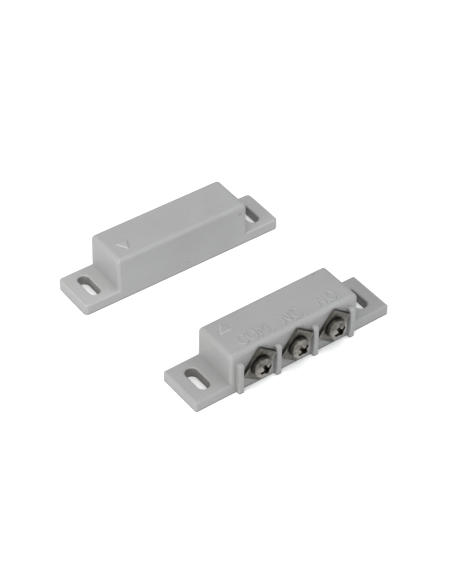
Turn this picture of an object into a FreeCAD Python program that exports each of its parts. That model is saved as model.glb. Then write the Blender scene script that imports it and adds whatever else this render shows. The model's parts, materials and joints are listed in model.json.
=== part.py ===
import FreeCAD, Part
import math
import os
import re
import Sketcher

# Surface magnetic contact: a switch unit with a changeover reed and three screw terminals, and its magnet
# unit, which lies beside it turned a little, as in the photo.
# Millimetres. The origin is the centre of the switch unit's mounting face, X runs along the units,
# -Y is the terminal side and +Z is up from the mounting surface.

document = FreeCAD.newDocument("surface_magnetic_contact")
os.makedirs("parts", exist_ok=True)

# Driving dimensions
SIZES = [
    ("unit_length", 60.2, "switch unit, over both screw ears"),
    ("unit_width", 14.05, "switch unit, at the mounting face"),
    ("block_height", 12.2, "switch unit, mounting face to top"),
    ("ear_length", 10.2, "screw ears, out of the block"),
    ("ear_thickness", 3.1, "height of the screw ears"),
    ("magnet_longer", 0.8, "magnet unit, beyond the switch unit's length"),
    ("magnet_narrower", 0.55, "magnet unit, below the switch unit's width"),
    ("magnet_taller", 0.8, "magnet unit, above the switch unit's height"),
    ("mould_draft", 0.8, "degrees, on the sides of the block"),
    ("top_edge_radius", 1.25, "round edge of the block's top"),
    ("block_corner_radius", 1.1, "upright edges of the block"),
    ("ear_edge_break", 0.4, "bevelled upper edge of the ears"),
    ("switch_ear_corner", 0.5, "ear corners in plan, switch unit"),
    ("magnet_ear_corner", 1.3, "ear corners in plan, magnet unit"),
    ("switch_slot_width", 3.4, "screw slots, for a 3 mm screw"),
    ("magnet_slot_width", 3.15, "screw slots, for a 3 mm screw"),
    ("slot_length", 8.2, "screw slots, end to end across the unit"),
    ("slot_inset", 5.35, "middle of each slot, in from the end of its ear"),
    ("slot_rim_break", 0.3, "bevelled rim of each slot"),
    ("side_wall", 1.5, "housing walls along the unit"),
    ("end_wall", 1.6, "housing walls at the ends of the block"),
    ("roof", 1.5, "housing top"),
    ("cavity_corner", 0.8, "inner corners of the hollow underside"),
    ("cover_thickness", 1.2, "back covers"),
    ("cover_ledge", 0.7, "seat of the back cover all round"),
    ("cover_gap", 0.05, "between the back cover and its rebate, each side"),
    ("rib_margin", 1.87, "outer barrier ribs, in from each end of the block"),
    ("rib_thickness", 1.5, "barrier ribs"),
    ("rib_protrusion", 1.25, "barrier ribs, out of the front wall"),
    ("rib_drop", 2.9, "top of the barrier ribs, below the top of the block"),
    ("rib_top_radius", 0.7, "round outer top edge of the ribs"),
    ("rib_edge_break", 0.2, "bevelled edges along each rib"),
    ("terminal_drop", 5.7, "screw axis, below the top of the block"),
    ("insert_proud", 0.1, "brass post, out of the front wall"),
    ("insert_boss", 5.0, "diameter of the brass post through the wall"),
    ("insert_flange", 6.4, "square flange behind the wall"),
    ("insert_flange_thickness", 1.2, "flange behind the wall"),
    ("tail_width", 2.0, "solder tail"),
    ("tail_thickness", 0.6, "solder tail"),
    ("tail_reach", 0.5, "solder tail past the axis of its lead"),
    ("plate_length", 8.6, "rectangular clamp plates"),
    ("plate_width", 6.15, "rectangular clamp plates"),
    ("plate_thickness", 0.9, "rectangular clamp plates"),
    ("plate_corner", 0.3, "round corners of the clamp plates"),
    ("thread_diameter", 3.0, "terminal screws"),
    ("thread_gap", 0.05, "screw in its post, each side"),
    ("clearance_gap", 0.2, "screw in its plate and washer, each side"),
    ("shank_length", 6.0, "terminal screws under the head"),
    ("head_diameter", 5.5, "pan head"),
    ("head_height", 2.0, "pan head"),
    ("head_side", 0.8, "straight side of the pan head"),
    ("recess_span", 3.4, "cross recess, tip to tip"),
    ("recess_width", 1.0, "cross recess, each arm"),
    ("recess_core", 1.8, "round middle of the cross recess"),
    ("recess_depth", 1.4, "cross recess, below the top of the head"),
    ("washer_diameter", 5.5, "split lock washer"),
    ("washer_thickness", 0.7, "split lock washer"),
    ("washer_split", 0.6, "gap in the lock washer"),
    ("glass_diameter", 2.6, "reed capsule"),
    ("glass_length", 14.0, "reed capsule"),
    ("glass_bore", 1.9, "inside of the reed capsule"),
    ("glass_seal", 1.6, "solid glass at each end"),
    ("reed_drop", 3.75, "reed axis, below the top of the block"),
    ("reed_setback", 2.2, "reed axis, in front of the rear wall's inside"),
    ("blade_thickness", 0.2, "reed blades"),
    ("blade_width", 1.0, "reed blades"),
    ("blade_overlap", 1.6, "reed blades past each other"),
    ("contact_gap", 0.35, "open side of the changeover reed"),
    ("lead_diameter", 0.5, "reed leads"),
    ("lead_past_tail", 0.4, "lead beyond its solder tail"),
    ("lead_straight", 0.9, "closed-side lead, glass to its bend"),
    ("lead_bend", 0.6, "corner cut off by each bend in the closed-side lead"),
    ("lead_return", 2.4, "closed-side lead, sideways from the reed"),
    ("bar_end_gap", 2.35, "bar magnet, short of the end walls, each end"),
    ("bar_width", 6.4, "bar magnet"),
    ("bar_height", 6.4, "bar magnet"),
    ("bar_edge", 0.3, "broken edges of the bar magnet"),
    ("locator_spacing", 20.0, "between the ribs behind the magnet"),
    ("locator_thickness", 1.2, "ribs behind the magnet, and posts under it"),
    ("pair_offset", 43.8, "magnet unit behind the switch unit"),
    ("pair_shift", -2.3, "magnet unit along the switch unit"),
    ("pair_turn", 0.8, "degrees, magnet unit clockwise of the switch unit, as laid out"),
    ("com_play", 0.08, "clamp plate swung on its screw, short of each rib"),
    ("nc_play", 0.07, "clamp plate swung on its screw, short of each rib"),
    ("no_play", 0.04, "clamp plate swung on its screw, short of each rib"),
    ("com_recess_turn", 20.0, "degrees, where the screw came to rest"),
    ("nc_recess_turn", 38.0, "degrees, where the screw came to rest"),
    ("no_recess_turn", 28.0, "degrees, where the screw came to rest"),
]

sheet = document.addObject("Spreadsheet::Sheet", "Sizes")
for row, (alias, number, meaning) in enumerate(SIZES, start=1):
    sheet.set("A%d" % row, alias)
    sheet.set("B%d" % row, str(number))
    sheet.set("C%d" % row, meaning)
    sheet.setAlias("B%d" % row, alias)
document.recompute()

# Sizes that follow from the driving ones
DERIVED = {
    "terminal_height": "( block_height - terminal_drop )",
    "rib_height": "( block_height - rib_drop )",
    "reed_height": "( block_height - reed_drop )",
    "reed_offset": "( unit_width / 2 - side_wall - reed_setback )",
    "rib_pitch": "( ( block_length - 2 * rib_margin - rib_thickness ) / 3 )",
    "block_length": "( unit_length - 2 * ear_length )",
}
SWITCH = {
    "length": "unit_length",
    "width": "unit_width",
    "height": "block_height",
    "ear_corner": "switch_ear_corner",
    "slot_width": "switch_slot_width",
}
MAGNET = {
    "length": "( unit_length + magnet_longer )",
    "width": "( unit_width - magnet_narrower )",
    "height": "( block_height + magnet_taller )",
    "ear_corner": "magnet_ear_corner",
    "slot_width": "magnet_slot_width",
}
for unit in (SWITCH, MAGNET):
    unit["block"] = "( %s - 2 * ear_length )" % unit["length"]
    unit["slot_reach"] = "( %s / 2 - slot_inset )" % unit["length"]
    unit["inside_length"] = "( %s - 2 * end_wall )" % unit["block"]
    unit["inside_width"] = "( %s - 2 * side_wall )" % unit["width"]
TINY = 1e-4


# Small helpers: every length in a sketch is an expression on the sheet
def expression(text):
    aliases = {alias for alias, number, meaning in SIZES}
    for name, rule in DERIVED.items():
        text = re.sub(r"\b%s\b" % name, rule, text)
    return re.sub("[a-z_]+", lambda word: "Sizes." + word[0] if word[0] in aliases else word[0], text)


def value(text):
    result = sheet.evalExpression(expression(text))
    return float(getattr(result, "Value", result))


def new_body(name):
    body = document.addObject("PartDesign::Body", name)
    body.Label = name
    return body


def origin_feature(body, role):
    return next(item for item in body.Origin.OriginFeatures if item.Role == role)


def new_sketch(body, name, role="XY_Plane", height=None):
    sketch = body.newObject("Sketcher::SketchObject", name)
    sketch.AttachmentSupport = [(origin_feature(body, role), "")]
    sketch.MapMode = "FlatFace"
    if height is not None:
        sketch.setExpression("AttachmentOffset.Base.z", expression(height))
    return sketch


# In a sketch, geometry -1 is its level axis, which starts at the origin, and -2 its upright axis
def on_axis(sketch, geometry, position, upright):
    sketch.addConstraint(Sketcher.Constraint("PointOnObject", geometry, position, -2 if upright else -1))


def bind(sketch, kind, references, text):
    if kind in ("DistanceX", "DistanceY") and abs(value(text)) < TINY:
        on_axis(sketch, *references[-2:], kind == "DistanceX")
        return
    index = sketch.addConstraint(Sketcher.Constraint(kind, *references, value(text)))
    name = "size_%d" % index
    sketch.renameConstraint(index, name)
    sketch.setExpression("Constraints." + name, expression(text))


def vertex(x, y):
    return FreeCAD.Vector(x, y, 0)


def place_point(sketch, geometry, position, x, y):
    bind(sketch, "DistanceX", (-1, 1, geometry, position), x)
    bind(sketch, "DistanceY", (-1, 1, geometry, position), y)


def polygon(sketch, points):
    places = [vertex(value(x), value(y)) for x, y in points]
    lines = []
    for index, place in enumerate(places):
        following = places[(index + 1) % len(places)]
        lines.append(sketch.addGeometry(Part.LineSegment(place, following)))
    for index, line in enumerate(lines):
        following = lines[(index + 1) % len(lines)]
        sketch.addConstraint(Sketcher.Constraint("Coincident", line, 2, following, 1))
    for line, (x, y) in zip(lines, points):
        place_point(sketch, line, 1, x, y)
    return lines


def rectangle(sketch, length, width, x="0", y="0"):
    left, right = "%s - ( %s ) / 2" % (x, length), "%s + ( %s ) / 2" % (x, length)
    low, high = "%s - ( %s ) / 2" % (y, width), "%s + ( %s ) / 2" % (y, width)
    return polygon(sketch, [(left, low), (right, low), (right, high), (left, high)])


def rounded_rectangle(sketch, length, width, radius):
    reach, rise, curve = value(length) / 2, value(width) / 2, value(radius)
    upward = FreeCAD.Vector(0, 0, 1)
    sides, corners = [], []
    for quarter in range(4):
        right = 1 if quarter in (0, 1) else -1
        above = 1 if quarter in (1, 2) else -1
        centre = vertex(right * (reach - curve), above * (rise - curve))
        start = math.radians(90 * quarter - 90)
        corners.append(sketch.addGeometry(Part.ArcOfCircle(Part.Circle(centre, upward, curve), start,
                                                           start + math.pi / 2)))
    ends = [sketch.getPoint(corner, 2) for corner in corners]
    starts = [sketch.getPoint(corner, 1) for corner in corners]
    for index in range(4):
        sides.append(sketch.addGeometry(Part.LineSegment(ends[index], starts[(index + 1) % 4])))
    for index, side in enumerate(sides):
        sketch.addConstraint(Sketcher.Constraint("Tangent", corners[index], 2, side, 1))
        sketch.addConstraint(Sketcher.Constraint("Tangent", side, 2, corners[(index + 1) % 4], 1))
        sketch.addConstraint(Sketcher.Constraint("Vertical" if index % 2 == 0 else "Horizontal", side))
    for corner in corners[1:]:
        sketch.addConstraint(Sketcher.Constraint("Equal", corners[0], corner))
    bind(sketch, "Radius", (corners[0],), radius)
    across, along = "( ( %s ) / 2 - %s )" % (length, radius), "( ( %s ) / 2 - %s )" % (width, radius)
    place_point(sketch, corners[0], 3, across, "0 - " + along)
    place_point(sketch, corners[2], 3, "0 - " + across, along)


def round_corner(sketch, line, x, y):
    first, second = sketch.getPoint(line, 1), sketch.getPoint(line, 2)
    centre = vertex(value(x), value(y))
    angles = [math.atan2(end.y - centre.y, end.x - centre.x) for end in (second, first)]
    ring = Part.Circle(centre, FreeCAD.Vector(0, 0, 1), (first - centre).Length)
    sketch.toggleConstruction(line)
    arc = sketch.addGeometry(Part.ArcOfCircle(ring, angles[0], angles[1]))
    sketch.addConstraint(Sketcher.Constraint("Coincident", arc, 1, line, 2))
    sketch.addConstraint(Sketcher.Constraint("Coincident", arc, 2, line, 1))
    bind(sketch, "DistanceX", (-1, 1, arc, 3), x)


def circle(sketch, diameter, x="0", y="0"):
    ring = Part.Circle(vertex(value(x), value(y)), FreeCAD.Vector(0, 0, 1), value(diameter) / 2)
    index = sketch.addGeometry(ring)
    bind(sketch, "Diameter", (index,), diameter)
    place_point(sketch, index, 3, x, y)


def slot(sketch, width, length, x, y="0"):
    radius = value(width) / 2
    reach = value(length) / 2 - radius
    middle, height = value(x), value(y)
    upward = FreeCAD.Vector(0, 0, 1)
    upper = Part.Circle(vertex(middle, height + reach), upward, radius)
    lower = Part.Circle(vertex(middle, height - reach), upward, radius)
    top = sketch.addGeometry(Part.ArcOfCircle(upper, 0, math.pi))
    left = sketch.addGeometry(Part.LineSegment(vertex(middle - radius, height + reach),
                                               vertex(middle - radius, height - reach)))
    bottom = sketch.addGeometry(Part.ArcOfCircle(lower, math.pi, 2 * math.pi))
    right = sketch.addGeometry(Part.LineSegment(vertex(middle + radius, height - reach),
                                                vertex(middle + radius, height + reach)))
    for first, second in ((top, left), (left, bottom), (bottom, right), (right, top)):
        sketch.addConstraint(Sketcher.Constraint("Tangent", first, 2, second, 1))
    sketch.addConstraint(Sketcher.Constraint("Vertical", left))
    place_point(sketch, top, 3, x, "%s + ( %s - %s ) / 2" % (y, length, width))
    bind(sketch, "DistanceY", (bottom, 3, top, 3), "%s - %s" % (length, width))
    bind(sketch, "Radius", (top,), "%s / 2" % width)


def feature(body, kind, name, sketch=None, **lengths):
    item = body.newObject("PartDesign::" + kind, name)
    if sketch is not None:
        item.Profile = sketch
    for key, text in lengths.items():
        item.setExpression(key, expression(text))
    document.recompute()
    return item


def reversed_feature(body, kind, name, sketch, **lengths):
    item = feature(body, kind, name, sketch, **lengths)
    item.Reversed = True
    document.recompute()
    return item


def edges_where(item, test):
    return ["Edge%d" % index for index, edge in enumerate(item.Shape.Edges, start=1) if test(edge)]


def fillet(body, name, item, test, radius):
    names = edges_where(item, test)
    rounded = body.newObject("PartDesign::Fillet", name)
    rounded.Base = (item, names)
    rounded.setExpression("Radius", expression(radius))
    document.recompute()
    return rounded


def chamfer(body, name, item, test, size):
    names = edges_where(item, test)
    broken = body.newObject("PartDesign::Chamfer", name)
    broken.Base = (item, names)
    broken.setExpression("Size", expression(size))
    document.recompute()
    return broken


def place(body, x="0", y="0", z="0"):
    for axis, text in (("x", x), ("y", y), ("z", z)):
        body.setExpression("Placement.Base." + axis, expression(text))


def turn(body, axis, angle):
    body.Placement = FreeCAD.Placement(FreeCAD.Vector(), FreeCAD.Rotation(axis, value(angle)))
    body.setExpression("Placement.Rotation.Angle", expression(angle))


# Tests on edges, so that rounds follow the form when a size changes
def level_at(height):
    def test(edge):
        box = edge.BoundBox
        return abs(box.ZMin - height) < TINY and abs(box.ZMax - height) < TINY
    return test


# Housing form that both units share: a drafted block with two screw ears and a hollow underside
def housing(name, unit):
    body = new_body(name)
    ears = new_sketch(body, name + "_ears_outline")
    rounded_rectangle(ears, unit["length"], unit["width"], unit["ear_corner"])
    ear_pad = feature(body, "Pad", name + "_ears", ears, Length="ear_thickness")
    low, high = value("ear_thickness"), value(unit["height"])
    chamfer(body, name + "_ear_edges", ear_pad, level_at(low), "ear_edge_break")

    block = new_sketch(body, name + "_block_outline")
    rounded_rectangle(block, unit["block"], unit["width"], "block_corner_radius")
    block_pad = feature(body, "Pad", name + "_block", block, Length=unit["height"],
                        TaperAngle="0 - mould_draft")
    fillet(body, name + "_top_edge", block_pad, level_at(high), "top_edge_radius")

    slots = new_sketch(body, name + "_slot_outlines")
    slot(slots, unit["slot_width"], "slot_length", unit["slot_reach"])
    slot(slots, unit["slot_width"], "slot_length", "0 - " + unit["slot_reach"])
    slot_cut = reversed_feature(body, "Pocket", name + "_slots", slots, Length="ear_thickness")

    def slot_rim(edge):
        box = edge.BoundBox
        near = abs(abs(box.Center.x) - value(unit["slot_reach"])) < value(unit["slot_width"])
        within = max(abs(box.YMin), abs(box.YMax)) < value("slot_length") / 2 + TINY
        return level_at(low)(edge) and near and within

    chamfer(body, name + "_slot_rims", slot_cut, slot_rim, "slot_rim_break")
    return body


def hollow(body, name, unit):
    inside = new_sketch(body, name + "_hollow_outline")
    rectangle(inside, unit["inside_length"], unit["inside_width"])
    depth = unit["height"] + " - roof"
    cut = reversed_feature(body, "Pocket", name + "_hollow", inside, Length=depth)
    reach = value("cover_thickness") * 2

    def corner(edge):
        box = edge.BoundBox
        return box.ZLength > reach and abs(box.ZMin) < TINY and abs(box.ZMax - value(depth)) < TINY

    fillet(body, name + "_hollow_corners", cut, corner, "cavity_corner")
    rebate = new_sketch(body, name + "_rebate_outline")
    rectangle(rebate, unit["inside_length"] + " + 2 * cover_ledge",
              unit["inside_width"] + " + 2 * cover_ledge")
    reversed_feature(body, "Pocket", name + "_rebate", rebate, Length="cover_thickness")


# Switch housing: the shared form, with four barrier ribs and three holes for the terminal posts
def switch_housing():
    name = "switch_housing"
    body = housing(name, SWITCH)
    outline = new_sketch(body, name + "_rib_outline", "YZ_Plane", "0 - 1.5 * rib_pitch")
    front, root = "0 - unit_width / 2 - rib_protrusion", "side_wall / 2 - unit_width / 2"
    lines = polygon(outline, [(root, "0"), (front, "0"), (front, "rib_height - rib_top_radius"),
                              (front + " + rib_top_radius", "rib_height"), (root, "rib_height")])
    round_corner(outline, lines[2], front + " + rib_top_radius", "rib_height - rib_top_radius")
    rib = feature(body, "Pad", name + "_rib", outline, Length="rib_thickness")
    rib.Midplane = True
    pattern = body.newObject("PartDesign::LinearPattern", name + "_ribs")
    pattern.Originals = [rib]
    pattern.Direction = (origin_feature(body, "X_Axis"), [""])
    pattern.Mode = "Spacing"
    pattern.setExpression("Offset", expression("rib_pitch"))
    pattern.Occurrences = 4
    body.Tip = pattern
    document.recompute()
    wall = -value("unit_width") / 2

    def rib_edge(edge):
        box = edge.BoundBox
        outside = box.YMin < wall - TINY and box.XLength < TINY
        return outside and box.ZMax > value("rib_height - rib_top_radius") - TINY

    chamfer(body, name + "_rib_edges", pattern, rib_edge, "rib_edge_break")
    hollow(body, name, SWITCH)
    holes = new_sketch(body, name + "_post_holes_outline", "XZ_Plane", "unit_width / 2 - side_wall * 2")
    for bay in ("0 - rib_pitch", "0", "rib_pitch"):
        circle(holes, "insert_boss", bay, "terminal_height")
    reversed_feature(body, "Pocket", name + "_post_holes", holes, Length="side_wall * 2 + insert_proud")
    return body


# The magnet unit's pieces share one place beside the switch unit
def lay_beside(body):
    turn(body, FreeCAD.Vector(0, 0, -1), "pair_turn")
    place(body, "pair_shift", "pair_offset")


BAR_FLOOR = MAGNET["height"] + " - roof - bar_height"
BAR_MIDDLE = "0 - %s / 2 + bar_width / 2" % MAGNET["inside_width"]


# Magnet housing: the shared form, with two ribs that hold the bar against the front wall
def magnet_housing():
    name = "magnet_housing"
    body = housing(name, MAGNET)
    hollow(body, name, MAGNET)
    locators = new_sketch(body, name + "_locator_outline", height=BAR_FLOOR)
    length = "%s - bar_width" % MAGNET["inside_width"]
    for side in ("0 - locator_spacing / 2", "locator_spacing / 2"):
        rectangle(locators, "locator_thickness", length, side, "bar_width / 2")
    feature(body, "Pad", name + "_locators", locators, Length="bar_height")
    lay_beside(body)
    return body


# Back cover: a flat plate in the rebate, flush with the mounting face
def back_cover(name, unit):
    body = new_body(name)
    outline = new_sketch(body, name + "_outline")
    rectangle(outline, unit["inside_length"] + " + 2 * cover_ledge - 2 * cover_gap",
              unit["inside_width"] + " + 2 * cover_ledge - 2 * cover_gap")
    feature(body, "Pad", name + "_plate", outline, Length="cover_thickness")
    return body


def magnet_back_cover():
    name = "magnet_back_cover"
    body = back_cover(name, MAGNET)
    posts = new_sketch(body, name + "_post_outline", height="cover_thickness")
    for side in ("0 - locator_spacing / 2", "locator_spacing / 2"):
        rectangle(posts, "locator_thickness", "bar_width / 2", side, BAR_MIDDLE)
    feature(body, "Pad", name + "_posts", posts, Length=BAR_FLOOR + " - cover_thickness")
    lay_beside(body)
    return body


def bar_magnet():
    name = "bar_magnet"
    body = new_body(name)
    outline = new_sketch(body, name + "_outline", height=BAR_FLOOR)
    rectangle(outline, MAGNET["inside_length"] + " - 2 * bar_end_gap", "bar_width", "0", BAR_MIDDLE)
    bar = feature(body, "Pad", name + "_bar", outline, Length="bar_height")
    chamfer(body, name + "_edges", bar, lambda edge: True, "bar_edge")
    lay_beside(body)
    return body


# Terminal pieces stand on their screw axis, along Y, with the post's front face at y = 0
OUTWARD = FreeCAD.Vector(0, -1, 0)


def terminal_post(name, bay, reach):
    body = new_body(name)
    boss = new_sketch(body, name + "_boss_outline", "XZ_Plane")
    circle(boss, "insert_boss")
    depth = "side_wall + insert_proud"
    feature(body, "Pad", name + "_boss", boss, Length=depth).Reversed = True
    flange = new_sketch(body, name + "_flange_outline", "XZ_Plane", "0 - side_wall - insert_proud")
    rectangle(flange, "insert_flange", "insert_flange")
    feature(body, "Pad", name + "_flange", flange, Length="insert_flange_thickness").Reversed = True
    tail = new_sketch(body, name + "_tail_outline",
                      height="reed_height + lead_diameter / 2 - terminal_height")
    start = "side_wall + insert_proud"
    length = "%s - ( %s ) + tail_reach" % (reach, start)
    rectangle(tail, "tail_width", length, "0", "%s + ( %s ) / 2" % (start, length))
    feature(body, "Pad", name + "_tail", tail, Length="tail_thickness")
    bore = new_sketch(body, name + "_bore_outline", "XZ_Plane")
    circle(bore, "thread_diameter + 2 * thread_gap")
    document.recompute()
    feature(body, "Pocket", name + "_bore", bore,
            Length="side_wall + insert_proud + insert_flange_thickness")
    place(body, bay, "0 - unit_width / 2 - insert_proud", "terminal_height")
    return body


# A clamp plate swings with its tightening screw until two corners stop against the barrier ribs
def swung_turn(play):
    along, across = "( plate_length - 2 * plate_corner )", "( plate_width - 2 * plate_corner )"
    room = "( rib_pitch - rib_thickness - 2 * %s - 2 * plate_corner )" % play
    diagonal = "hypot( %s ; %s )" % (along, across)
    return "atan2( %s ; %s ) + acos( min( 1 ; %s / %s ) )" % (across, along, room, diagonal)


def clamp_plate(name, bay, play):
    body = new_body(name)
    outline = new_sketch(body, name + "_outline", "XZ_Plane")
    rounded_rectangle(outline, "plate_length", "plate_width", "plate_corner")
    circle(outline, "thread_diameter + 2 * clearance_gap")
    feature(body, "Pad", name + "_plate", outline, Length="plate_thickness")
    turn(body, OUTWARD, swung_turn(play))
    place(body, bay, "0 - unit_width / 2 - insert_proud", "terminal_height")
    return body


def lock_washer(name, bay):
    body = new_body(name)
    outline = new_sketch(body, name + "_outline", "XZ_Plane")
    circle(outline, "washer_diameter")
    circle(outline, "thread_diameter + 2 * clearance_gap")
    feature(body, "Pad", name + "_ring", outline, Length="washer_thickness")
    split = new_sketch(body, name + "_split_outline", "XZ_Plane")
    rectangle(split, "washer_split", "washer_diameter", "0", "0 - washer_diameter / 2")
    reversed_feature(body, "Pocket", name + "_split", split, Length="washer_thickness")
    place(body, bay, "0 - unit_width / 2 - insert_proud - plate_thickness", "terminal_height")
    return body


def terminal_screw(name, bay, angle):
    body = new_body(name)
    outline = new_sketch(body, name + "_outline")
    radius, side = "thread_diameter / 2", "0 - head_side"
    crown = "0 - head_height"
    points = [("0", "shank_length"), (radius, "shank_length"), (radius, "0"), ("head_diameter / 2", "0"),
              ("head_diameter / 2", side), ("0", crown)]
    places = [vertex(value(x), value(y)) for x, y in points]
    lines = [outline.addGeometry(Part.LineSegment(a, b)) for a, b in zip(places[:4], places[1:5])]
    rise = value("head_height - head_side")
    dome_radius = (value("head_diameter / 2") ** 2 + rise ** 2) / (2 * rise)
    dome_centre = vertex(0, value(crown) + dome_radius)
    rim = math.atan2(places[4].y - dome_centre.y, places[4].x)
    dome_circle = Part.Circle(dome_centre, FreeCAD.Vector(0, 0, 1), dome_radius)
    dome = outline.addGeometry(Part.ArcOfCircle(dome_circle, -math.pi / 2, rim))
    closing = outline.addGeometry(Part.LineSegment(places[5], places[0]))
    for first, second in zip(lines[:3], lines[1:]):
        outline.addConstraint(Sketcher.Constraint("Coincident", first, 2, second, 1))
    outline.addConstraint(Sketcher.Constraint("Coincident", lines[3], 2, dome, 2))
    outline.addConstraint(Sketcher.Constraint("Coincident", dome, 1, closing, 1))
    outline.addConstraint(Sketcher.Constraint("Coincident", closing, 2, lines[0], 1))
    on_axis(outline, dome, 3, upright=True)
    for line, (x, y) in zip(lines, points):
        place_point(outline, line, 1, x, y)
    place_point(outline, dome, 2, *points[4])
    place_point(outline, closing, 1, *points[5])
    turned = body.newObject("PartDesign::Revolution", name + "_turned")
    turned.Profile = outline
    turned.ReferenceAxis = (outline, ["V_Axis"])
    turned.Angle = 360
    document.recompute()

    recess = new_sketch(body, name + "_recess_outline", "XZ_Plane", "head_height")
    arm, span = "recess_width / 2", "recess_span / 2"
    cross = [(arm, span), (arm, arm), (span, arm)]
    corners = cross + [(x, "0 - %s" % y) for x, y in reversed(cross)]
    corners = corners + [("0 - %s" % x, "0 - %s" % y) for x, y in cross]
    corners = corners + [("0 - %s" % x, y) for x, y in reversed(cross)]
    polygon(recess, corners)
    feature(body, "Pocket", name + "_recess", recess, Length="recess_depth")
    core = new_sketch(body, name + "_core_outline", "XZ_Plane", "head_height")
    circle(core, "recess_core")
    feature(body, "Pocket", name + "_core", core, Length="recess_depth")
    turn(body, OUTWARD, angle)
    seat = "0 - unit_width / 2 - insert_proud - plate_thickness - washer_thickness"
    place(body, bay, seat, "terminal_height")
    return body


# Reed switch: a glass capsule along X, with one blade from the left and two from the right
def reed_glass(name, leads):
    body = new_body(name)
    outline = new_sketch(body, name + "_outline")
    end, radius = "glass_length / 2", "glass_diameter / 2"
    inner, bore = "glass_length / 2 - glass_seal", "glass_bore / 2"
    outer = [(end, "0"), (end, radius), ("0 - " + end, radius), ("0 - " + end, "0")]
    void = [("0 - ( %s )" % inner, "0"), ("0 - ( %s )" % inner, bore), (inner, bore), (inner, "0")]
    polygon(outline, outer + void)
    tube = body.newObject("PartDesign::Revolution", name + "_tube")
    tube.Profile = outline
    tube.ReferenceAxis = (outline, ["H_Axis"])
    tube.Angle = 360
    document.recompute()
    for index, (side, offset) in enumerate(leads):
        hole = new_sketch(body, "%s_lead_hole_%d" % (name, index), "YZ_Plane", side + " glass_length / 2")
        circle(hole, "lead_diameter", offset)
        cut = feature(body, "Pocket", "%s_lead_cut_%d" % (name, index), hole, Length="glass_seal")
        if side.startswith("0"):
            cut.Reversed = True
            document.recompute()
    place(body, "0", "reed_offset", "reed_height")
    return body


def reed_blade(body, name, start, end, offset):
    flat = new_sketch(body, name + "_flat_outline", "YZ_Plane", start)
    rectangle(flat, "blade_thickness", "blade_width", offset)
    feature(body, "Pad", name + "_flat", flat, Length="%s - ( %s )" % (end, start))


def straight_lead(body, name, start, end, offset):
    wire = new_sketch(body, name + "_lead_outline", "YZ_Plane", start)
    circle(wire, "lead_diameter", offset)
    feature(body, "Pad", name + "_lead", wire, Length="%s - ( %s )" % (end, start))


CLOSED_SIDE = "( 0 - blade_thickness )"
CLOSED_LEAD = "( 0 - blade_thickness / 2 - lead_diameter / 2 )"
OPEN_SIDE = "( blade_thickness + contact_gap )"
CAPSULE_END = "glass_length / 2"
INNER_END = "( glass_length / 2 - glass_seal )"


def reed_common():
    body = new_body("reed_common")
    reed_blade(body, "reed_common", "0 - " + INNER_END, "blade_overlap / 2", "0")
    start = "0 - rib_pitch - tail_width / 2 - lead_past_tail"
    straight_lead(body, "reed_common", start, "0 - " + INNER_END, "0")
    place(body, "0", "reed_offset", "reed_height")
    return body


def reed_no():
    body = new_body("reed_no")
    reed_blade(body, "reed_no", "0 - blade_overlap / 2", INNER_END, OPEN_SIDE)
    straight_lead(body, "reed_no", INNER_END, "rib_pitch + tail_width / 2 + lead_past_tail", OPEN_SIDE)
    place(body, "0", "reed_offset", "reed_height")
    return body


def reed_nc():
    name = "reed_nc"
    body = new_body(name)
    reed_blade(body, name, "0 - blade_overlap / 2", INNER_END, CLOSED_SIDE)
    route = new_sketch(body, name + "_route")
    out, side = CAPSULE_END + " + lead_straight", CLOSED_LEAD + " - lead_return"
    corners = [(INNER_END, CLOSED_LEAD), (out, CLOSED_LEAD),
               (out + " + lead_bend", CLOSED_LEAD + " - lead_bend"),
               (out + " + lead_bend", side + " + lead_bend"), (out, side),
               ("0 - tail_width / 2 - lead_past_tail", side)]
    places = [vertex(value(x), value(y)) for x, y in corners]
    lines = [route.addGeometry(Part.LineSegment(a, b)) for a, b in zip(places, places[1:])]
    for first, second in zip(lines, lines[1:]):
        route.addConstraint(Sketcher.Constraint("Coincident", first, 2, second, 1))
    for line, (x, y) in zip(lines, corners):
        place_point(route, line, 1, x, y)
    place_point(route, lines[-1], 2, *corners[-1])
    section = new_sketch(body, name + "_section", "YZ_Plane", INNER_END)
    circle(section, "lead_diameter", CLOSED_LEAD)
    wire = body.newObject("PartDesign::AdditivePipe", name + "_lead")
    wire.Profile = section
    wire.Spine = (route, [])
    wire.Transition = "Right corner"
    document.recompute()
    place(body, "0", "reed_offset", "reed_height")
    return body


FRONT = "unit_width / 2 + insert_proud"
TO_REED = FRONT + " + reed_offset"
BAYS = [
    ("com", "0 - rib_pitch", TO_REED),
    ("nc", "0", TO_REED + " + " + CLOSED_LEAD + " - lead_return"),
    ("no", "rib_pitch", TO_REED + " + " + OPEN_SIDE),
]

bodies = [switch_housing(), back_cover("switch_back_cover", SWITCH)]
for mark, bay, reach in BAYS:
    bodies.append(terminal_post(mark + "_insert", bay, reach))
    bodies.append(clamp_plate(mark + "_clamp_plate", bay, mark + "_play"))
    bodies.append(lock_washer(mark + "_lock_washer", bay))
    bodies.append(terminal_screw(mark + "_screw", bay, mark + "_recess_turn"))
bodies.append(reed_glass("reed_glass", [("0 -", "0"), ("", CLOSED_LEAD), ("", OPEN_SIDE)]))
bodies += [reed_common(), reed_nc(), reed_no()]
bodies += [magnet_housing(), bar_magnet(), magnet_back_cover()]
document.recompute()

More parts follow.
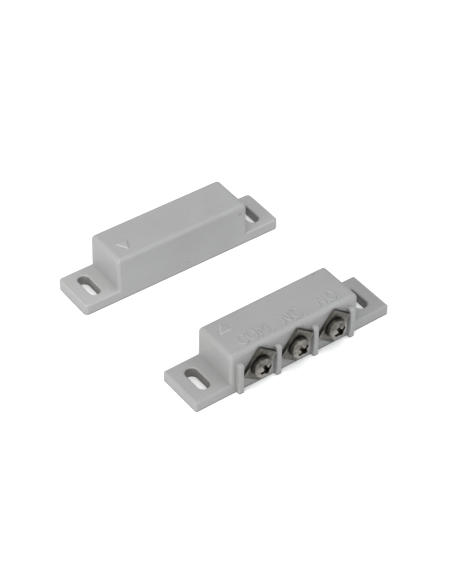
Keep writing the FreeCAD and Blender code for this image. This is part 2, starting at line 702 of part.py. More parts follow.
# Every object must be sound before anything is written
for item in document.Objects:
    if {"Invalid", "Error"} & set(item.State):
        raise RuntimeError("%s did not build: %s" % (item.Name, item.State))
for body in bodies:
    if body.Shape.isNull() or not body.Shape.isValid():
        raise RuntimeError("%s has no valid shape" % body.Label)
    if len(body.Shape.Solids) != 1:
        raise RuntimeError("%s is %d solids" % (body.Label, len(body.Shape.Solids)))
for body in bodies:
    body.Shape.exportStep("parts/%s.step" % body.Label)
    box = body.Shape.BoundBox
    print("%-20s %8.1f mm3  x %.2f %.2f  y %.2f %.2f  z %.2f %.2f" % (
        body.Label, body.Shape.Volume, box.XMin, box.XMax, box.YMin, box.YMax, box.ZMin, box.ZMax))
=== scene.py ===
import json
import math

import bmesh
import bpy
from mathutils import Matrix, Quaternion, Vector


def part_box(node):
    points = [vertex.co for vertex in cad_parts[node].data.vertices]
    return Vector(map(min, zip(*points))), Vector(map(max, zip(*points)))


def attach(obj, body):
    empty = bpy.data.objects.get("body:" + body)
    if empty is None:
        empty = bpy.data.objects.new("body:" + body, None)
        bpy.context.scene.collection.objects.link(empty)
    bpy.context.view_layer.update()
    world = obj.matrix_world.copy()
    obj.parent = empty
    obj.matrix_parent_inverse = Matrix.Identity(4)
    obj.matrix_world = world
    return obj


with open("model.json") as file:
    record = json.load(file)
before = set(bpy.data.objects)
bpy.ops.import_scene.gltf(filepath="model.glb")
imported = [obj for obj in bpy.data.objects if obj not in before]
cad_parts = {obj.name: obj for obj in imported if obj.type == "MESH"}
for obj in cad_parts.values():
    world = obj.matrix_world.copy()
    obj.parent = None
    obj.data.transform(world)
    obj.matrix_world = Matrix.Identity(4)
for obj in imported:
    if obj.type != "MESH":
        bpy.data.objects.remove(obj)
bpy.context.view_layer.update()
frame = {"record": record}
MM = 0.001

# Heights of the two tops, from the CAD nodes
SWITCH_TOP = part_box("switch_housing")[1][2]
MAGNET_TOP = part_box("magnet_housing")[1][2]

# Layout in millimetres: the switch unit lies at the origin and the magnet unit is turned a little.
# The masks say where a tint starts and ends: round a slot, in parts of its ellipse, and below an ear's top.
SWITCH_CENTRE = (0.0, 0.0)
MAGNET_CENTRE = (-2.3, 43.8)
MAGNET_TURN = math.radians(-0.8)
MAGNET_BLOCK_END = 20.3
EAR_THICKNESS = 3.1
SWITCH_SLOTS_APART = 49.5
MAGNET_SLOTS_APART = 50.3
SLOT_HALF_WIDTH = 1.75
SLOT_HALF_LENGTH = 4.2
SLOT_MASK = (1.2, 1.35)
RIM_MASK = ((EAR_THICKNESS - 0.5) * MM, (EAR_THICKNESS - 0.1) * MM)

# Terminals: pitch, height of the screw axis, and the sphere that the screw head's dome lies on
TERMINAL_PITCH = 11.52 * MM
TERMINAL_HEIGHT = 6.5 * MM
DOME_RADIUS = 3.751 * MM
DOME_CENTRE = -10.73 * MM + DOME_RADIUS
HEAD_RADIUS = 2.75 * MM
PLATE_LENGTH = 8.6 * MM
PLATE_WIDTH = 6.15 * MM
PLATE_TURN = math.radians(52.1)

# Camera, fitted to the photograph: focal length in pixels of the 584 pixel side
IMAGE_HEIGHT = 584
FOCAL_PIXELS = 1898.0
SENSOR = 36.0
AZIMUTH = math.radians(-36.436)
ELEVATION = math.radians(41.997)
ROLL = math.radians(0.32)
TARGET = Vector((1.52, 23.99, 0.0)) * MM
DISTANCE = 491.6 * MM
NEAR_LIMIT = 0.01


# Node trees of the materials, in object space, where one unit is a metre
class Tree:
    def __init__(self, name):
        self.material = bpy.data.materials.new(name)
        self.material.use_nodes = True
        self.nodes = self.material.node_tree.nodes
        self.links = self.material.node_tree.links
        self.shader = self.nodes["Principled BSDF"]
        self.place = self.nodes.new("ShaderNodeTexCoord").outputs["Object"]

    # A socket takes either a number or what another node puts out
    def link(self, value, socket):
        if hasattr(value, "is_output"):
            self.links.new(value, socket)
        else:
            socket.default_value = value

    def stretched(self, scale):
        mapping = self.nodes.new("ShaderNodeMapping")
        self.links.new(self.place, mapping.inputs["Vector"])
        mapping.inputs["Scale"].default_value = scale
        return mapping.outputs["Vector"]

    def coordinates(self):
        node = self.nodes.new("ShaderNodeSeparateXYZ")
        self.links.new(self.place, node.inputs[0])
        return node.outputs[0], node.outputs[1], node.outputs[2]

    def noise(self, size, detail=3.0, rough=0.55, place=None):
        node = self.nodes.new("ShaderNodeTexNoise")
        self.links.new(place or self.place, node.inputs["Vector"])
        node.inputs["Scale"].default_value = 1.0 / size
        node.inputs["Detail"].default_value = detail
        node.inputs["Roughness"].default_value = rough
        return node.outputs["Fac"]

    # Distance to the nearest of many scattered points
    def scattered(self, size):
        node = self.nodes.new("ShaderNodeTexVoronoi")
        self.links.new(self.place, node.inputs["Vector"])
        node.inputs["Scale"].default_value = 1.0 / size
        return node.outputs["Distance"]

    # Smooth step up from low to high
    def spread(self, value, low, high, out_low=0.0, out_high=1.0):
        node = self.nodes.new("ShaderNodeMapRange")
        node.interpolation_type = "SMOOTHSTEP"
        self.link(value, node.inputs["Value"])
        names = ("From Min", "From Max", "To Min", "To Max")
        for name, number in zip(names, (low, high, out_low, out_high)):
            node.inputs[name].default_value = number
        return node.outputs["Result"]

    # Smooth step down: one before low, nothing after high
    def fall(self, value, low, high):
        return self.spread(value, low, high, 1.0, 0.0)

    # Noise stretched over its middle range, where nearly all of its values lie
    def drift(self, size, out_low=0.0, out_high=1.0, detail=3.0):
        return self.spread(self.noise(size, detail), 0.3, 0.7, out_low, out_high)

    def math(self, kind, first, second=0.0, third=0.0):
        node = self.nodes.new("ShaderNodeMath")
        node.operation = kind
        self.link(first, node.inputs[0])
        self.link(second, node.inputs[1])
        self.link(third, node.inputs[2])
        return node.outputs["Value"]

    def product(self, first, *others):
        for other in others:
            first = self.math("MULTIPLY", first, other)
        return first

    def length(self, *parts):
        total = 0.0
        for part in parts:
            total = self.math("MULTIPLY_ADD", part, part, total)
        return self.math("SQRT", total)

    # How far a point lies along a line that leaves the first axis at this angle
    def along_line(self, first, second, angle):
        part = self.math("MULTIPLY", first, math.cos(angle))
        return self.math("MULTIPLY_ADD", second, math.sin(angle), part)

    def mix(self, amount, first, second):
        node = self.nodes.new("ShaderNodeMix")
        node.data_type = "RGBA"
        self.link(amount, node.inputs["Factor"])
        self.link(first, node.inputs["A"])
        self.link(second, node.inputs["B"])
        return node.outputs["Result"]

    # A colour with a tint laid over it where the mask is
    def over(self, colour, tint, mask, strength=1.0):
        return self.mix(self.product(mask, strength), colour, tint)

    # One inside a ragged ball, nothing outside it
    def near(self, centre, radius, ragged):
        node = self.nodes.new("ShaderNodeVectorMath")
        node.operation = "DISTANCE"
        self.links.new(self.place, node.inputs[0])
        node.inputs[1].default_value = centre
        reach = self.math("MULTIPLY_ADD", ragged, radius, node.outputs["Value"])
        return self.fall(reach, radius * 0.8, radius * 1.8)

    # Place of a point beside its nearest terminal: along X, along Y from the dome's centre, and up
    def by_terminal(self):
        x, y, z = self.coordinates()
        along = self.math("WRAP", x, TERMINAL_PITCH / 2, -TERMINAL_PITCH / 2)
        out = self.math("SUBTRACT", y, DOME_CENTRE)
        up = self.math("SUBTRACT", z, TERMINAL_HEIGHT)
        return along, out, up

    def bump(self, heights):
        normal = None
        for height, depth in heights:
            node = self.nodes.new("ShaderNodeBump")
            self.link(height, node.inputs["Height"])
            node.inputs["Distance"].default_value = depth
            if normal is not None:
                self.links.new(normal, node.inputs["Normal"])
            normal = node.outputs["Normal"]
        self.links.new(normal, self.shader.inputs["Normal"])

    def finish(self, colour, roughness, metallic=0.0, **sockets):
        self.link(colour, self.shader.inputs["Base Color"])
        self.link(roughness, self.shader.inputs["Roughness"])
        self.shader.inputs["Metallic"].default_value = metallic
        for name, number in sockets.items():
            self.shader.inputs[name.replace("_", " ")].default_value = number
        return self.material


def grey(level, warmth=0.0):
    return (level * (1 + warmth), level, level * (1 - warmth), 1.0)


def slot_centres():
    units = ((SWITCH_CENTRE, SWITCH_SLOTS_APART, 0.0), (MAGNET_CENTRE, MAGNET_SLOTS_APART, MAGNET_TURN))
    centres = []
    for middle, apart, turn in units:
        for reach in (-apart / 2, apart / 2):
            centres.append((middle[0] + reach * math.cos(turn), middle[1] + reach * math.sin(turn)))
    return centres


# Walls inside the mounting slots, which get painted shade: inside an ellipse that holds the slot's corners
def inside_slots(tree, x, y, z):
    mask = 0.0
    for middle_x, middle_y in slot_centres():
        across = tree.math("MULTIPLY_ADD", x, 1 / (SLOT_HALF_WIDTH * MM), -middle_x / SLOT_HALF_WIDTH)
        along = tree.math("MULTIPLY_ADD", y, 1 / (SLOT_HALF_LENGTH * MM), -middle_y / SLOT_HALF_LENGTH)
        mask = tree.math("MAXIMUM", tree.fall(tree.length(across, along), *SLOT_MASK), mask)
    above_base = tree.spread(z, 0.05 * MM, 0.2 * MM)
    return tree.product(mask, tree.fall(z, *RIM_MASK), above_base)


# Upper faces of the magnet unit's ears, painted as light as its top: painted light for the light that the
# block keeps from them
def ear_tops_painted_light(tree, x, z):
    from_middle = tree.math("ABSOLUTE", tree.math("SUBTRACT", x, MAGNET_CENTRE[0] * MM))
    beside_block = tree.spread(from_middle, (MAGNET_BLOCK_END - 1.1) * MM, (MAGNET_BLOCK_END + 0.1) * MM)
    not_above = tree.fall(z, (EAR_THICKNESS + 0.05) * MM, (EAR_THICKNESS + 0.4) * MM)
    return tree.product(beside_block, tree.spread(z, *RIM_MASK), not_above)


# Greys of the plastic in linear light, and how much lighter the raised forms are painted: a painted
# highlight for the light that their rounded ridges and sloping sides catch
HOUSING_GREY = 0.255
COVER_GREY = HOUSING_GREY * 0.92
MAGNET_ARROW_GREY = HOUSING_GREY * 1.04
RAISED_HIGHLIGHT = 1.09
ARROW_SIDE_HIGHLIGHT = 1.16
ARROW_HEIGHT = 0.3 * MM


# Moulded plastic: slow drifts of tone, a fine spark-eroded grain, a few dark specks and the smudges of use,
# with painted light and shade laid over them
def plastic(name, level, warmth=0.006, marks=(), highlight_below=None):
    tree = Tree(name)
    x, y, z = tree.coordinates()
    drift = tree.drift(14 * MM)
    switch_tone = tree.mix(drift, grey(level * 0.97, warmth * 2), grey(level * 1.03))
    # The magnet unit is painted lighter than the switch unit, though both are one plastic: painted light for
    # the stronger light that falls on it
    magnet_lit_tone = tree.mix(drift, grey(level * 1.06, warmth), grey(level * 1.12, 0.004))
    magnet_unit = tree.spread(y, 15 * MM, 30 * MM)
    colour = tree.mix(magnet_unit, switch_tone, magnet_lit_tone)
    # Painted shade: darker towards the bottom of each housing, a painted contact shadow along the floor
    foot = tree.fall(z, 0.05 * MM, 0.55 * MM)
    colour = tree.over(colour, grey(level * 0.25, 0.1), foot, 0.7)
    # Painted light: the magnet unit's ear tops painted lighter
    colour = tree.over(colour, grey(level * 1.22, 0.008), ear_tops_painted_light(tree, x, z), magnet_unit)
    # Painted shade on the walls inside the slots, stronger on the switch unit
    slot_shade = tree.spread(magnet_unit, 0.0, 1.0, 0.72, 0.45)
    colour = tree.over(colour, grey(level * 0.3, 0.08), inside_slots(tree, x, y, z), slot_shade)
    colour = tree.over(colour, grey(level * 0.7, warmth), tree.drift(0.25 * MM, detail=2.0), 0.08)
    speck = tree.fall(tree.scattered(1.6 * MM), 0.05, 0.15)
    rare = tree.spread(tree.noise(2.3 * MM, 1.0), 0.54, 0.62)
    colour = tree.over(colour, grey(level * 0.5, 0.05), tree.product(speck, rare), 0.12)
    # Painted highlight: the sides of a raised arrow, below its flat top, painted lighter
    if highlight_below is not None:
        painted_highlight = tree.fall(z, highlight_below - 0.04 * MM, highlight_below - 0.005 * MM)
        colour = tree.over(colour, grey(level * ARROW_SIDE_HIGHLIGHT), painted_highlight)
    ragged = tree.noise(0.5 * MM, 4.0, 0.6)
    for centre, radius, strength, tint in marks:
        colour = tree.over(colour, tint, tree.near(centre, radius, ragged), strength)
    tree.bump([(tree.noise(0.22 * MM, 2.0), 0.004 * MM), (tree.noise(2.2 * MM, 1.0), 0.02 * MM)])
    return tree.finish(colour, tree.drift(3 * MM, 0.46, 0.56), Specular_IOR_Level=0.43)


# Nickel on steel: darker tarnish in patches, and tumbling nicks
def nickel(name, dark, light, roughness, warmth=0.015):
    tree = Tree(name)
    patches = tree.spread(tree.noise(1.5 * MM, 4.0, 0.65), 0.35, 0.68)
    colour = tree.mix(patches, grey(dark, warmth), grey(light, warmth * 0.5))
    nicks = tree.spread(tree.noise(0.35 * MM, 2.0), 0.58, 0.72)
    colour = tree.over(colour, grey(dark * 0.5, warmth), nicks, 0.5)
    tree.bump([(tree.noise(0.5 * MM), 0.02 * MM), (nicks, 0.01 * MM)])
    return tree.finish(colour, tree.drift(0.8 * MM, *roughness), metallic=1.0)


# Screw heads: worn nickel, with painted shade in the recess and round the foot of the head
SCREW_DARK = (0.12, 0.112, 0.098, 1.0)
SCREW_LIGHT = (0.255, 0.242, 0.22, 1.0)
SCREW_NICK = (0.06, 0.055, 0.05, 1.0)
SCREW_SIDE_SHADE = (0.10, 0.093, 0.082, 1.0)
RECESS_SHADE = (0.03, 0.027, 0.023, 1.0)


def screw_nickel(name):
    tree = Tree(name)
    along, out, up = tree.by_terminal()
    patches = tree.spread(tree.noise(1.5 * MM, 4.0, 0.6), 0.34, 0.66)
    colour = tree.mix(patches, SCREW_DARK, SCREW_LIGHT)
    nicks = tree.spread(tree.noise(0.35 * MM, 2.0), 0.62, 0.72)
    colour = tree.over(colour, SCREW_NICK, nicks, 0.4)
    from_dome = tree.length(along, out, up)
    from_axis = tree.length(along, up)
    below_dome = tree.fall(from_dome, DOME_RADIUS - 0.42 * MM, DOME_RADIUS - 0.16 * MM)
    not_the_side = tree.fall(from_axis, HEAD_RADIUS - 0.45 * MM, HEAD_RADIUS - 0.25 * MM)
    # Painted shade: the cross recess painted near black
    colour = tree.over(colour, RECESS_SHADE, tree.product(below_dome, not_the_side))
    # Painted shade: the side of the head painted darker
    side = tree.spread(from_axis, HEAD_RADIUS - 0.25 * MM, HEAD_RADIUS - 0.07 * MM)
    colour = tree.over(colour, SCREW_SIDE_SHADE, side, 0.55)
    tree.bump([(tree.noise(0.5 * MM), 0.02 * MM), (nicks, 0.01 * MM)])
    return tree.finish(colour, tree.drift(0.8 * MM, 0.33, 0.43), metallic=1.0)


# Clamp plates: olive grey zinc, with a painted highlight beside the long edges, and painted shade on the
# edges and round the washer
PLATE_DARK = (0.08, 0.075, 0.065, 1.0)
PLATE_LIGHT = (0.14, 0.133, 0.118, 1.0)
PLATE_EDGE_HIGHLIGHT = (0.23, 0.219, 0.196, 1.0)
PLATE_SIDE_SHADE = (0.085, 0.079, 0.068, 1.0)
PLATE_END_SHADE = (0.022, 0.02, 0.017, 1.0)
WASHER_SHADE = (0.018, 0.016, 0.014, 1.0)


def plate_zinc(name):
    tree = Tree(name)
    along, _, up = tree.by_terminal()
    long_way = tree.math("ABSOLUTE", tree.along_line(along, up, PLATE_TURN))
    short_way = tree.math("ABSOLUTE", tree.along_line(along, up, PLATE_TURN + math.pi / 2))
    past_end = tree.math("SUBTRACT", long_way, PLATE_LENGTH / 2)
    past_side = tree.math("SUBTRACT", short_way, PLATE_WIDTH / 2)
    patches = tree.spread(tree.noise(1.1 * MM, 5.0, 0.65), 0.36, 0.66)
    colour = tree.mix(patches, PLATE_DARK, PLATE_LIGHT)
    wander = tree.math("MULTIPLY_ADD", tree.noise(0.9 * MM, 4.0), 0.2 * MM, past_side)
    # Painted highlight: a lighter strip beside each long edge
    colour = tree.over(colour, PLATE_EDGE_HIGHLIGHT, tree.spread(wander, -0.35 * MM, -0.15 * MM), 0.8)
    # Painted shade: the long edges and the ends of the plate painted darker
    colour = tree.over(colour, PLATE_SIDE_SHADE, tree.spread(past_side, -0.1 * MM, -0.03 * MM), 0.85)
    colour = tree.over(colour, PLATE_END_SHADE, tree.spread(past_end, -0.14 * MM, -0.05 * MM), 0.9)
    ring = tree.fall(tree.length(along, up), HEAD_RADIUS + 0.1 * MM, HEAD_RADIUS + 0.45 * MM)
    colour = tree.over(colour, WASHER_SHADE, ring, 0.7)
    tree.bump([(tree.noise(0.6 * MM), 0.02 * MM)])
    return tree.finish(colour, tree.drift(0.8 * MM, 0.36, 0.52), metallic=1.0)


BRASS_BRIGHT = (0.62, 0.44, 0.16, 1.0)
BRASS_TARNISHED = (0.42, 0.27, 0.10, 1.0)


def brass(name):
    tree = Tree(name)
    tarnish = tree.spread(tree.noise(1.8 * MM, 4.0), 0.35, 0.7)
    turned = tree.noise(0.12 * MM, 2.0, place=tree.stretched((0.2, 1.0, 0.2)))
    tree.bump([(turned, 0.006 * MM)])
    colour = tree.mix(tarnish, BRASS_BRIGHT, BRASS_TARNISHED)
    return tree.finish(colour, tree.drift(1.1 * MM, 0.25, 0.42), metallic=1.0)


GLASS_GREEN = (0.62, 0.86, 0.68, 1.0)
GLASS_PALE = (0.72, 0.92, 0.76, 1.0)


def glass(name):
    tree = Tree(name)
    colour = tree.mix(tree.drift(3.0 * MM), GLASS_GREEN, GLASS_PALE)
    tree.bump([(tree.noise(1.2 * MM, 1.0), 0.004 * MM)])
    return tree.finish(colour, tree.drift(1.5 * MM, 0.02, 0.06), Transmission_Weight=1.0, IOR=1.5)


def ground_magnet(name):
    tree = Tree(name)
    colour = tree.mix(tree.drift(2.0 * MM, detail=5.0), grey(0.13, 0.02), grey(0.21, 0.01))
    lines = tree.noise(0.15 * MM, 2.0, place=tree.stretched((0.05, 1.0, 1.0)))
    tree.bump([(lines, 0.006 * MM)])
    return tree.finish(colour, tree.spread(lines, 0.3, 0.7, 0.4, 0.6), metallic=1.0)


# Smudges and specks of the photograph, listed: x, y and radius in millimetres, and strength
SMUDGE = grey(0.13, 0.03)
BROWN = (0.05, 0.032, 0.02, 1.0)
RUST = (0.17, 0.07, 0.045, 1.0)
SWITCH_TOP_SMUDGES = [
    (15.07, 5.56, 0.7, 0.2), (16.37, 1.93, 0.3, 0.18), (18.38, 3.11, 0.3, 0.18), (18.33, 1.42, 0.25, 0.18),
    (8.76, 0.39, 0.3, 0.15), (12.57, 0.56, 0.3, 0.15), (-2.94, 5.12, 0.35, 0.15), (-17.63, -1.04, 0.3, 0.14),
    (-11.14, 2.49, 0.3, 0.14),
]
MAGNET_TOP_SMUDGES = [
    (-0.74, 43.4, 0.3, 0.1), (1.21, 42.79, 0.5, 0.11), (2.81, 42.89, 0.5, 0.1), (8.31, 40.38, 1.1, 0.059),
    (9.26, 44.85, 0.4, 0.11), (8.21, 48.33, 0.4, 0.1), (-7.49, 46.41, 0.3, 0.1), (-5.19, 45.6, 0.3, 0.1),
    (-8.38, 42.64, 0.3, 0.084), (-7.48, 43.92, 0.4, 0.1), (-18.5, 41.15, 0.16, 0.3),
]
LETTER_SPECKS = [
    (12.7, -5.25, 0.22, 0.25), (11.65, -4.45, 0.16, 0.19), (10.0, -3.7, 0.16, 0.19),
    (13.4, -2.35, 0.15, 0.16), (14.0, -1.3, 0.15, 0.16), (14.8, -4.7, 0.15, 0.16),
    (15.2, -5.2, 0.25, 0.19), (2.6, -5.4, 0.22, 0.25), (0.93, -4.2, 0.15, 0.16),
    (-0.13, -2.67, 0.15, 0.16), (-0.9, -3.47, 0.15, 0.16), (2.7, -2.2, 0.15, 0.16),
]

# Marks on the front of the magnet unit: place and radius in millimetres, strength and colour
FRONT_MARKS = [
    ((15.55, 36.95, 10.6), 0.7, 0.3, RUST),
    ((-1.6, 36.8, 2.7), 0.35, 0.4, BROWN),
    ((-0.6, 36.8, 2.2), 0.3, 0.4, BROWN),
]


def placed_marks():
    tops = (
        (SWITCH_TOP_SMUDGES, SWITCH_TOP, SMUDGE),
        (MAGNET_TOP_SMUDGES, MAGNET_TOP, SMUDGE),
        (LETTER_SPECKS, SWITCH_TOP, BROWN),
    )
    marks = []
    for rows, height, tint in tops:
        for x, y, radius, strength in rows:
            marks.append(((x * MM, y * MM, height), radius * MM, strength, tint))
    for place, radius, strength, tint in FRONT_MARKS:
        marks.append((tuple(Vector(place) * MM), radius * MM, strength, tint))
    return marks


MARKS = placed_marks()
MATERIALS = {
    "housing_plastic": plastic("housing_plastic", HOUSING_GREY, marks=MARKS),
    # Letters and arrows: lighter plastic, a painted highlight on the raised forms
    "raised_marks": plastic("raised_marks", HOUSING_GREY * RAISED_HIGHLIGHT, marks=MARKS),
    "switch_arrow": plastic("switch_arrow", HOUSING_GREY, highlight_below=SWITCH_TOP + ARROW_HEIGHT),
    "magnet_arrow": plastic("magnet_arrow", MAGNET_ARROW_GREY, highlight_below=MAGNET_TOP + ARROW_HEIGHT),
    "cover_plastic": plastic("cover_plastic", COVER_GREY),
    "brass": brass("brass"),
    "plate_steel": plate_zinc("plate_steel"),
    # The lock washers are near black: dark steel, partly painted shade of the gap under the screw heads
    "washer_steel": nickel("washer_steel", dark=0.018, light=0.055, roughness=(0.45, 0.6), warmth=0.03),
    "screw_steel": screw_nickel("screw_steel"),
    "glass": glass("glass"),
    "reed_alloy": nickel("reed_alloy", dark=0.40, light=0.58, roughness=(0.25, 0.4)),
    "magnet": ground_magnet("magnet"),
}
SLOTS = {part["node"]: part["material_slot"] for part in frame["record"]["subparts"]}


def dress(name):
    for place in bpy.data.objects[name].material_slots:
        place.material = MATERIALS[SLOTS[name]]


# Edge roundings of the pieces, the angles from which an edge counts as sharp, and below which faces
# count as one flat, in degrees, and the distance at which points are welded
HOUSING_ROUND = 0.22 * MM
SCREW_ROUND = 0.16 * MM
PLATE_ROUND = 0.1 * MM
WASHER_ROUND = 0.08 * MM
HOUSING_SHARP = 20.0
METAL_SHARP = 30.0
FLAT_ANGLE = 0.5
WELD_REACH = 0.002 * MM


# Moulded and tumbled edges: the CAD node keeps its mesh, and modifiers round what it leaves sharp
def soften(name, radius, sharp, segments=3, merge_flats=True):
    piece = bpy.data.objects[name]
    weld = piece.modifiers.new("weld", "WELD")
    weld.merge_threshold = WELD_REACH
    if merge_flats:
        flat = piece.modifiers.new("flat", "DECIMATE")
        flat.decimate_type = "DISSOLVE"
        flat.angle_limit = math.radians(FLAT_ANGLE)
    round_edges = piece.modifiers.new("round", "BEVEL")
    round_edges.width = radius
    round_edges.segments = segments
    round_edges.limit_method = "ANGLE"
    round_edges.angle_limit = math.radians(sharp)
    round_edges.use_clamp_overlap = True
    round_edges.harden_normals = False
    normals = piece.modifiers.new("normals", "WEIGHTED_NORMAL")
    normals.keep_sharp = False
    normals.weight = 100


# Raised marks: strokes of half-round section, dots, and how deep all of them sink into the tops
STROKE = 0.44 * MM
STROKE_HEIGHT = 0.27 * MM
STROKE_STEP = 0.25 * MM
DOT_RADIUS = 0.33 * MM
DOT_HEIGHT = STROKE_HEIGHT * 1.2
DOT_DROP = -0.035
SINK = 0.03 * MM
CAP_HEIGHT = 3.27 * MM
BASELINE = -4.92 * MM
CURVE_STEPS = 36
C_START = 34
C_END = 331


def ellipse(x, y, half_width, half_height, start, end):
    angles = [math.radians(start + (end - start) * step / CURVE_STEPS) for step in range(CURVE_STEPS + 1)]
    return [(x + half_width * math.cos(angle), y + half_height * math.sin(angle)) for angle in angles]


# Middle line of each letter: X in millimetres, and height in parts of a capital's height
def letter_c(left, width):
    return ellipse(left + width / 2, 0.5, width / 2, 0.5, C_START, C_END)


def letter_o(left, width):
    return ellipse(left + width / 2, 0.5, width / 2, 0.5, 0, 360)


def letter_m(left, width):
    corners = ((0.0, 0), (0.02, 1), (0.46, 0.54), (1.15, 1), (1.0, 0))
    return [(left + along * width, up) for along, up in corners]


def letter_n(left, width):
    corners = ((0.0, 0), (0.0, 1), (0.95, 0), (1.03, 1))
    return [(left + along * width, up) for along, up in corners]


def dot(left, width):
    return [(left + width / 2, DOT_DROP)]


# Each mark: form, where its middle line starts along X, and its width, in millimetres
LETTERS = [
    (letter_c, -14.75, 2.4), (letter_o, -11.88, 2.33), (letter_m, -8.7, 2.25), (dot, -5.7, 0.0),
    (letter_n, -1.45, 1.88), (dot, 1.32, 0.0), (letter_c, 1.63, 2.34), (dot, 4.45, 0.0),
    (letter_n, 9.35, 1.86), (dot, 12.0, 0.0), (letter_o, 12.5, 2.25), (dot, 15.0, 0.0),
]


# Straight strokes get points along them, so that their shading turns only at the corners
def with_steps(points):
    out = [points[0]]
    for (x0, y0), (x1, y1) in zip(points, points[1:]):
        count = max(1, round(math.hypot(x1 - x0, y1 - y0) / STROKE_STEP))
        for number in range(1, count + 1):
            out.append((x0 + (x1 - x0) * number / count, y0 + (y1 - y0) * number / count))
    return out


def ridge(points, floor_z, closed):
    data = bpy.data.curves.new("ridge", "CURVE")
    data.dimensions = "3D"
    data.bevel_depth = STROKE / 2
    data.bevel_resolution = 3
    data.use_fill_caps = True
    spline = data.splines.new("POLY")
    spline.points.add(len(points) - 1)
    for point, (x, y) in zip(spline.points, points):
        point.co = (x, y, 0.0, 1.0)
    spline.use_cyclic_u = closed
    curve = bpy.data.objects.new("ridge", data)
    bpy.context.scene.collection.objects.link(curve)
    bpy.context.view_layer.update()
    mesh = bpy.data.meshes.new_from_object(curve.evaluated_get(bpy.context.evaluated_depsgraph_get()))
    bpy.data.objects.remove(curve)
    for place in mesh.vertices:
        place.co.z = floor_z + place.co.z * STROKE_HEIGHT / (STROKE / 2)
    return mesh


def knob(x, y, floor_z):
    form = bmesh.new()
    bmesh.ops.create_uvsphere(form, u_segments=20, v_segments=12, radius=DOT_RADIUS)
    for place in form.verts:
        place.co = Vector((x + place.co.x, y + place.co.y, floor_z + place.co.z * DOT_HEIGHT / DOT_RADIUS))
    mesh = bpy.data.meshes.new("knob")
    form.to_mesh(mesh)
    form.free()
    return mesh


# One piece made of several meshes, cut off flat below
def joined(name, meshes, cut_below, smooth, material):
    form = bmesh.new()
    for mesh in meshes:
        form.from_mesh(mesh)
        bpy.data.meshes.remove(mesh)
    bmesh.ops.recalc_face_normals(form, faces=form.faces)
    geometry = form.verts[:] + form.edges[:] + form.faces[:]
    bmesh.ops.bisect_plane(
        form, geom=geometry, plane_co=(0, 0, cut_below), plane_no=(0, 0, 1), clear_inner=True
    )
    for face in form.faces:
        face.smooth = smooth
    mesh = bpy.data.meshes.new(name)
    form.to_mesh(mesh)
    form.free()
    mesh.materials.append(MATERIALS[material])
    piece = bpy.data.objects.new(name, mesh)
    bpy.context.scene.collection.objects.link(piece)
    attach(piece, "root")


def terminal_letters():
    meshes = []
    for form, left, width in LETTERS:
        places = [(x * MM, BASELINE + up * CAP_HEIGHT) for x, up in form(left, width)]
        if len(places) == 1:
            meshes.append(knob(*places[0], SWITCH_TOP))
        else:
            closed = form is letter_o
            places = with_steps(places)
            if closed:
                places.pop()
            meshes.append(ridge(places, SWITCH_TOP, closed))
    joined("terminal_letters", meshes, SWITCH_TOP - SINK, True, "raised_marks")


# Arrows: corners in millimetres, how far each side slopes inward, and the rounding of its edges
ARROW_SLOPE = 0.28
ARROW_ROUND = 0.1 * MM
SWITCH_ARROW = [(-16.95, 1.15), (-13.15, 1.2), (-14.87, 4.8)]
MAGNET_ARROW = [(-19.38, 43.58), (-15.68, 43.55), (-17.4, 39.95)]


# The corners of a triangle moved inward by the same amount from every side
def inset(corners, amount):
    points = [Vector(corner) for corner in corners]
    sides = [(points[(step + 1) % 3] - points[(step + 2) % 3]).length for step in range(3)]
    around = sum(sides)
    middle = sum((point * side for point, side in zip(points, sides)), Vector((0, 0))) / around
    inner_radius = abs((points[1] - points[0]).cross(points[2] - points[0])) / around
    return [middle + (point - middle) * (1 - amount / inner_radius) for point in points]


# A raised triangle with sloping sides, sunk a little into the top that carries it
def raised_triangle(name, corners, floor_z):
    form = bmesh.new()
    low = [form.verts.new((x * MM, y * MM, floor_z - SINK * 2)) for x, y in corners]
    foot = [form.verts.new((x * MM, y * MM, floor_z)) for x, y in corners]
    inner = inset(corners, ARROW_SLOPE)
    high = [form.verts.new((x * MM, y * MM, floor_z + ARROW_HEIGHT)) for x, y in inner]
    for lower, upper in ((low, foot), (foot, high)):
        for step in range(3):
            ahead = (step + 1) % 3
            form.faces.new((lower[step], lower[ahead], upper[ahead], upper[step]))
    form.faces.new(high)
    form.faces.new(low[::-1])
    edges = [edge for edge in form.edges if max(place.co.z for place in edge.verts) > floor_z + SINK]
    bmesh.ops.bevel(form, geom=edges, offset=ARROW_ROUND, segments=3, profile=0.5, affect="EDGES")
    mesh = bpy.data.meshes.new(name)
    form.to_mesh(mesh)
    form.free()
    joined(name, [mesh], floor_z - SINK, False, name)


# Direction from the object towards an azimuth and an elevation
def direction(azimuth, elevation):
    level = math.cos(elevation)
    return Vector((math.sin(azimuth) * level, -math.cos(azimuth) * level, math.sin(elevation)))


def make_camera():
    data = bpy.data.cameras.new("camera")
    data.sensor_width = SENSOR
    data.lens = FOCAL_PIXELS * SENSOR / IMAGE_HEIGHT
    data.clip_start = NEAR_LIMIT
    camera = bpy.data.objects.new("camera", data)
    back = direction(AZIMUTH, ELEVATION)
    camera.location = TARGET + back * DISTANCE
    camera.rotation_mode = "QUATERNION"
    camera.rotation_quaternion = (-back).to_track_quat("-Z", "Y") @ Quaternion((0, 0, 1), ROLL)
    bpy.context.scene.collection.objects.link(camera)
    bpy.context.scene.camera = camera


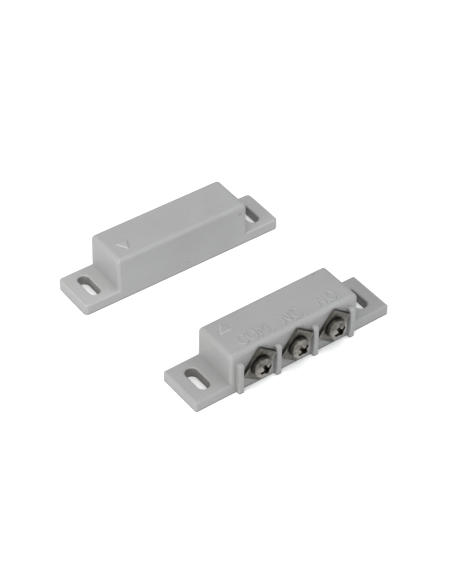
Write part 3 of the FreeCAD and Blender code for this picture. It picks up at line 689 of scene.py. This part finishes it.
# A ring of soft boxes: azimuth and elevation in degrees, watts, colour
LIGHTS = [
    ("camera_side", -36, 55, 3.7, (1.0, 1.0, 0.99)),
    ("left_low", -81, 25, 6.4, (0.99, 1.0, 1.0)),
    ("front_low", 9, 25, 1.1, (1.0, 1.0, 1.0)),
    ("right_low", 54, 25, 0.67, (0.85, 1.0, 1.15)),
    ("right_high", 54, 55, 2.41, (0.98, 1.0, 1.0)),
    ("back_low", -171, 25, 1.0, (1.05, 1.0, 1.01)),
    ("back_high", -171, 55, 1.0, (0.96, 1.0, 1.03)),
    ("above", 0, 89, 1.9, (0.98, 1.0, 0.99)),
]
LIGHT_GAIN = 0.93
LIGHT_SIZE = 0.45
LIGHT_REACH = 0.9
LIGHT_AIM = Vector((0.0, 0.02, 0.0))
WORLD_STRENGTH = 0.3
FLOOR_SIZE = 4.0


def soft_box(name, azimuth, elevation, watts, colour):
    away = direction(math.radians(azimuth), math.radians(elevation))
    data = bpy.data.lights.new(name, "AREA")
    data.energy = watts * LIGHT_GAIN
    data.color = colour
    data.size = LIGHT_SIZE
    light = bpy.data.objects.new(name, data)
    light.location = LIGHT_AIM + away * LIGHT_REACH
    light.rotation_mode = "QUATERNION"
    light.rotation_quaternion = (-away).to_track_quat("-Z", "Y")
    bpy.context.scene.collection.objects.link(light)


def make_floor():
    bpy.ops.mesh.primitive_plane_add(size=FLOOR_SIZE)
    floor = bpy.context.object
    floor.name = "floor"
    tree = Tree("floor_paper")
    tree.bump([(tree.noise(1.0 * MM), 0.01 * MM)])
    paper = tree.mix(tree.drift(60 * MM), grey(0.93), grey(0.95))
    floor.data.materials.append(tree.finish(paper, 0.8))


def make_world():
    world = bpy.data.worlds.new("studio")
    bpy.context.scene.world = world
    world.use_nodes = True
    background = world.node_tree.nodes["Background"]
    background.inputs["Color"].default_value = (1, 1, 1, 1)
    background.inputs["Strength"].default_value = WORLD_STRENGTH
    bpy.context.scene.view_settings.view_transform = "Standard"


for node in SLOTS:
    dress(node)
for housing in ("switch_housing", "magnet_housing"):
    soften(housing, HOUSING_ROUND, HOUSING_SHARP)
for mark in ("com", "nc", "no"):
    soften(mark + "_screw", SCREW_ROUND, METAL_SHARP)
    soften(mark + "_clamp_plate", PLATE_ROUND, METAL_SHARP, merge_flats=False)
    soften(mark + "_lock_washer", WASHER_ROUND, METAL_SHARP, segments=2)
terminal_letters()
raised_triangle("switch_arrow", SWITCH_ARROW, SWITCH_TOP)
raised_triangle("magnet_arrow", MAGNET_ARROW, MAGNET_TOP)
make_camera()
make_world()
make_floor()
for light in LIGHTS:
    soft_box(*light)
